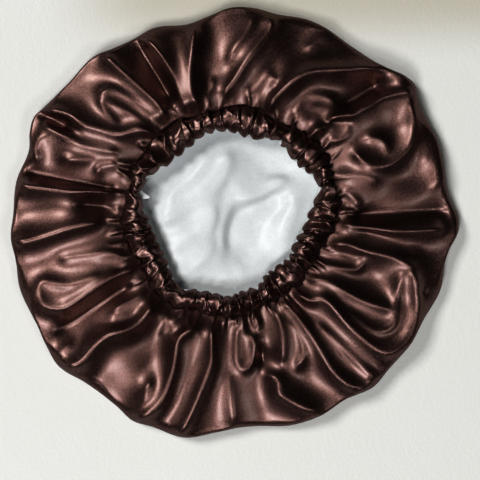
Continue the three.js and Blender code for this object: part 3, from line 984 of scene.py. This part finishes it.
def tabletop(name, colour, far_shade_and_mottle):
    """A pale, faintly grained tabletop, with painted shade that makes it darker and warmer along its far
    edge, except at its left end.
    """
    shaded_far_edge, left_end = (0.13, 0.185), (-0.17, -0.06)
    material, tree, start = empty_material(name)
    place = start.make("ShaderNodeTexCoord", output="Object")
    far = place.make("ShaderNodeSeparateXYZ", None, {"Vector": place}, 1)
    right = place.make("ShaderNodeSeparateXYZ", None, {"Vector": place}, 0)
    # Painted shade: the colour darkens and warms towards the far edge, except at the left end, where the
    # light falls off.
    share = far.between(*shaded_far_edge) * right.between(*left_end)
    cloudy = place.noise(6.0, 2.0)
    tint = share.blend(colour, far_shade_and_mottle)
    # The same darker colour also mottles the whole top faintly at random.
    tint = (0.12 * cloudy).blend(tint, far_shade_and_mottle)
    pores = place.make(
        "ShaderNodeTexVoronoi", {"feature": "SMOOTH_F1"},
        {"Vector": place + 0.004 * place.noise(120.0), "Scale": 420.0, "Smoothness": 0.6},
    )
    creased = place.noise(55.0, 5.0, 0.6)
    surface = pores * 0.5 + creased * 0.8
    normal = surface.make("ShaderNodeBump", None, {"Strength": 0.22, "Distance": 0.0012, "Height": surface})
    rough = 0.5 + 0.12 * (creased - 0.5)
    return finished(material, tree, {}, {"Base Color": tint, "Roughness": rough, "Normal": normal})


def metres(name, default, description):
    """A length that the panel shows in millimetres or inches, given here in millimetres."""
    return bpy.props.FloatProperty(
        name=name, default=default * MM, min=0.0, max=1.0, precision=5,
        subtype="DISTANCE", unit="LENGTH", description=description,
    )


def tint_of(name, default, description):
    """A linear colour with alpha."""
    return bpy.props.FloatVectorProperty(
        name=name, default=(*default, 1.0), size=4, min=0.0, max=1.0, subtype="COLOR", description=description
    )


class BonnetSizes(bpy.types.PropertyGroup):
    """The bonnet's sizes."""

    cloth: metres("Satin", 0.7, "Thickness of the shell and the casing")
    lining_cloth: metres("Lining", 0.6, "Thickness of the lining")
    side_height: metres("Side height", 7.5, "Height at which the bonnet is widest")
    lip_height: metres("Shoulder height", 17.5, "Height where the rounded side meets the top")
    lip_depth: metres("Shoulder depth", 4.5, "About how far inside the outline the top begins")
    foot_inset: metres("Foot inset", 12, "How far inside the outline the cloth rests on the floor")
    top_height: metres("Top height", 21, "Height of the top between its folds")
    pinched_height: metres("Stitch height", 20.5, "Height of the stitch line round the casing")
    casing_height: metres("Casing height", 29, "Height of the casing between its gathers")
    gap: metres("Seam gap", 0.3, "Gap between the shell or the casing and the stitch line")
    scallop: metres("Scallop", 3.2, "How far the casing's gathers reach over the mouth's edge")
    gather_rise: metres("Gather height", 5.0, "Height of the small folds round the mouth")
    ripple: metres("Ripples", 0.45, "Height of the fine ripples")
    billow: metres("Billows", 1.0, "Height of the wide waves over the shell")
    floor_gap: metres("Lining gap", 1.3, "Height of the lining's underside over the floor")
    elastic_width: metres("Elastic width", 10, "Width of the elastic")
    elastic_thickness: metres("Elastic thickness", 1, "Thickness of the elastic")
    elastic_height: metres("Elastic height", 23.2, "Height of the middle of the elastic")
    stitch_length: metres("Stitch length", 2.6, "Length of one stitch")
    fold_scale: bpy.props.FloatProperty(
        name="Fold height", default=1.2, min=0.0, max=3.0, description="A factor on the shell's folds"
    )
    crease_scale: bpy.props.FloatProperty(
        name="Crease height", default=1.35, min=0.0, max=2.0, description="A factor on the lining's folds"
    )
    stitches: bpy.props.IntProperty(
        name="Stitches", default=170, min=1, max=400, description="Number of stitches round the casing"
    )


class BonnetColours(bpy.types.PropertyGroup):
    """The bonnet's colours."""

    satin: tint_of("Brown satin", (0.16, 0.0957, 0.0846), "Colour of the shell")
    casing: tint_of("Casing satin", (0.16, 0.0957, 0.0846), "Colour of the gathered casing")
    lining: tint_of("White satin", (0.72, 0.745, 0.755), "Colour of the lining")
    elastic: tint_of("Elastic", (0.78, 0.77, 0.74), "Colour of the elastic")
    thread: tint_of("Thread", (0.035, 0.016, 0.012), "Colour of the thread")
    table: tint_of("Table", (0.795, 0.805, 0.785), "Colour of the table")
    # Painted shade: a darker, warmer colour laid along the table's far edge, and also used for faint random
    # mottling.
    table_far_shade_and_mottle: tint_of("Far table", (0.6, 0.575, 0.5), "Colour of the table towards its far edge")


def in_millimetres(settings):
    """The sizes as the shape functions take them: lengths in millimetres, and the rest as it is."""
    plain = ("fold_scale", "crease_scale", "stitches")
    names = BonnetSizes.__annotations__
    return SimpleNamespace(**{name: getattr(settings, name) / (1 if name in plain else MM) for name in names})


def dressed(piece, material, node):
    """Gives a piece its material and its place in the frame, for the node that it stands for."""
    piece.data.materials.append(material)
    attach(piece, "root")
    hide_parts(node)
    return piece


class BonnetPiece:
    """What the bonnet's operators have in common."""

    bl_options = {"REGISTER", "UNDO"}

    def execute(self, context):
        """Builds the piece from the scene's sizes and colours."""
        self.build(in_millimetres(context.scene.bonnet_sizes), context.scene.bonnet_colours)
        return {"FINISHED"}


class BONNET_OT_shell(BonnetPiece, bpy.types.Operator):
    """Builds the brown satin shell with its folds"""

    bl_idname = "bonnet.shell"
    bl_label = "Shell"

    def build(self, sizes, colours):
        piece = cloth_object("bonnet_shell", *shell_rings(sizes, gathered(sizes.gather_rise)))
        cloth = satin(
            "brown_satin", colours.satin, roughness=0.38, metallic=0.97, grain=3.0, bump=0.9, coat=0.36
        )
        dressed(piece, cloth, "shell")


class BONNET_OT_casing(BonnetPiece, bpy.types.Operator):
    """Builds the gathered casing round the mouth"""

    bl_idname = "bonnet.casing"
    bl_label = "Casing"

    def build(self, sizes, colours):
        piece = cloth_object("bonnet_casing", *casing_rings(sizes, gathered(sizes.gather_rise)))
        cloth = satin(
            "casing_satin", colours.casing, roughness=0.36, metallic=0.97, grain=2.6, bump=0.7, coat=0.5
        )
        dressed(piece, cloth, "casing")


class BONNET_OT_lining(BonnetPiece, bpy.types.Operator):
    """Builds the white satin lining"""

    bl_idname = "bonnet.lining"
    bl_label = "Lining"

    def build(self, sizes, colours):
        piece = cloth_object("bonnet_lining", *lining_rings(sizes, gathered(sizes.gather_rise)))
        cloth = satin("white_satin", colours.lining, roughness=0.42, metallic=0.0, grain=0.3, bump=0.3)
        dressed(piece, cloth, "lining")


class BONNET_OT_elastic(BonnetPiece, bpy.types.Operator):
    """Builds the flat elastic inside the casing"""

    bl_idname = "bonnet.elastic"
    bl_label = "Elastic"

    def build(self, sizes, colours):
        piece = cloth_object("bonnet_elastic", *elastic_rings(sizes))
        dressed(piece, knitted("elastic_band", colours.elastic), "elastic")


def one_stitch(length):
    """One stitch along X: a short bowed thread whose ends go down into the cloth."""
    sunk, bow, dip, handle, radius = 0.0002, 0.0004, 0.0006, 0.0006, 0.00016
    bpy.ops.object.select_all(action="DESELECT")
    bpy.ops.curve.primitive_bezier_curve_add()
    thread = bpy.context.active_object
    half = length / 2 * MM
    for point, side in zip(thread.data.splines[0].bezier_points, (-1, 1)):
        point.handle_left_type = point.handle_right_type = "FREE"
        point.co = (side * half, 0, -sunk)
        point.handle_left = (side * half - handle, 0, bow if side > 0 else -dip)
        point.handle_right = (side * half + handle, 0, bow if side < 0 else -dip)
    thread.data.bevel_depth = radius
    thread.data.bevel_resolution = 2
    thread.data.resolution_u = 6
    thread.data.use_fill_caps = True
    bpy.ops.object.convert(target="MESH")
    return thread


def cloth_level(tops, spot):
    """The height of the highest cloth at a spot in metres, and a little way inside and outside it."""
    from_above, no_cloth = 0.1, 0.021
    levels = []
    for top in tops:
        for aside in (-0.0012, -0.0006, 0.0, 0.0006, 0.0012):
            reach = 1 + aside / np.linalg.norm(spot)
            hit, where, _, _ = top.ray_cast((*(spot * reach), from_above), (0, 0, -1))
            if hit:
                levels.append(where.z)
    return max(levels, default=no_cloth)


class BONNET_OT_stitching(BonnetPiece, bpy.types.Operator):
    """Sews the line of stitches where the casing meets the shell"""

    bl_idname = "bonnet.stitching"
    bl_label = "Stitching"

    def build(self, sizes, colours):
        over_cloth = 0.00045
        thread = one_stitch(sizes.stitch_length)
        tops = [bpy.data.objects[name] for name in ("bonnet_shell", "bonnet_casing")]
        copies = []
        middle = crown_middle()
        for number in range(int(sizes.stitches)):
            angle = np.array([360 * number / sizes.stitches])
            spot = (plan(angle, stitch_line(angle))[0] + middle) * MM
            copy = thread.copy()
            copy.data = thread.data.copy()
            bpy.context.scene.collection.objects.link(copy)
            copy.location = (*spot, cloth_level(tops, spot) + over_cloth)
            copy.rotation_euler = (0, 0, math.radians(angle[0] + 90))
            copies.append(copy)
        bpy.data.objects.remove(thread)
        bpy.ops.object.select_all(action="DESELECT")
        for copy in copies:
            copy.select_set(True)
        bpy.context.view_layer.objects.active = copies[0]
        bpy.ops.object.join()
        piece = bpy.context.active_object
        piece.name = piece.data.name = "bonnet_stitching"
        bpy.ops.object.transform_apply(location=True, rotation=True, scale=True)
        bpy.ops.object.shade_smooth()
        piece.data.materials.append(twisted("thread", colours.thread))
        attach(piece, "root")


class BONNET_OT_stage(BonnetPiece, bpy.types.Operator):
    """Lays the table, and sets up the lights, the world and the camera over the bonnet"""

    bl_idname = "bonnet.stage"
    bl_label = "Table, lights and camera"

    def build(self, sizes, colours):
        table_size, sky_strength, gamma = 3, 0.01, 0.72
        bpy.ops.object.select_all(action="DESELECT")
        bpy.ops.mesh.primitive_plane_add(size=table_size)
        table = bpy.context.active_object
        table.name = "table"
        table.data.materials.append(tabletop("tabletop", colours.table, colours.table_far_shade_and_mottle))
        for name, place, size, power, colour in LIGHTS:
            bpy.ops.object.light_add(type="AREA", location=place)
            light = bpy.context.active_object
            light.name = name
            light.rotation_euler = (-Vector(place)).to_track_quat("-Z", "Y").to_euler()
            light.data.size = size
            light.data.energy = power
            light.data.color = colour
        world = bpy.data.worlds.new("studio")
        world.use_nodes = True
        background = world.node_tree.nodes["Background"]
        background.inputs["Color"].default_value = (0.86, 0.93, 1.0, 1.0)
        background.inputs["Strength"].default_value = sky_strength
        bpy.context.scene.world = world
        bpy.context.scene.view_settings.view_transform = "Standard"
        bpy.context.scene.view_settings.gamma = gamma
        bpy.ops.object.camera_add(location=CAMERA_PLACE, rotation=(0, 0, 0))
        camera = bpy.context.active_object
        camera.name = "camera"
        camera.data.lens = 100
        camera.data.sensor_width = 36
        bpy.context.scene.camera = camera


class BONNET_PT_panel(bpy.types.Panel):
    """The bonnet's sizes and colours, and a button for each piece"""

    bl_idname = "BONNET_PT_panel"
    bl_label = "Bonnet"
    bl_space_type = "VIEW_3D"
    bl_region_type = "UI"
    bl_category = "Bonnet"

    def draw(self, context):
        for settings in (context.scene.bonnet_sizes, context.scene.bonnet_colours):
            box = self.layout.box()
            for name in settings.__annotations__:
                box.prop(settings, name)
        for operator in OPERATORS:
            self.layout.operator(operator.bl_idname)


OPERATORS = (
    BONNET_OT_shell, BONNET_OT_casing, BONNET_OT_lining, BONNET_OT_elastic, BONNET_OT_stitching,
    BONNET_OT_stage,
)
CLASSES = (BonnetSizes, BonnetColours, *OPERATORS, BONNET_PT_panel)


def register():
    """Registers the classes and adds the settings to the scene."""
    for cls in CLASSES:
        bpy.utils.register_class(cls)
    bpy.types.Scene.bonnet_sizes = bpy.props.PointerProperty(type=BonnetSizes)
    bpy.types.Scene.bonnet_colours = bpy.props.PointerProperty(type=BonnetColours)


def unregister():
    """Takes the settings and the classes away again."""
    del bpy.types.Scene.bonnet_colours
    del bpy.types.Scene.bonnet_sizes
    for cls in reversed(CLASSES):
        bpy.utils.unregister_class(cls)


def main():
    """Builds every piece and the stage."""
    register()
    bpy.ops.bonnet.shell()
    bpy.ops.bonnet.casing()
    bpy.ops.bonnet.lining()
    bpy.ops.bonnet.elastic()
    bpy.ops.bonnet.stitching()
    bpy.ops.bonnet.stage()


if __name__ == "__main__":
    main()
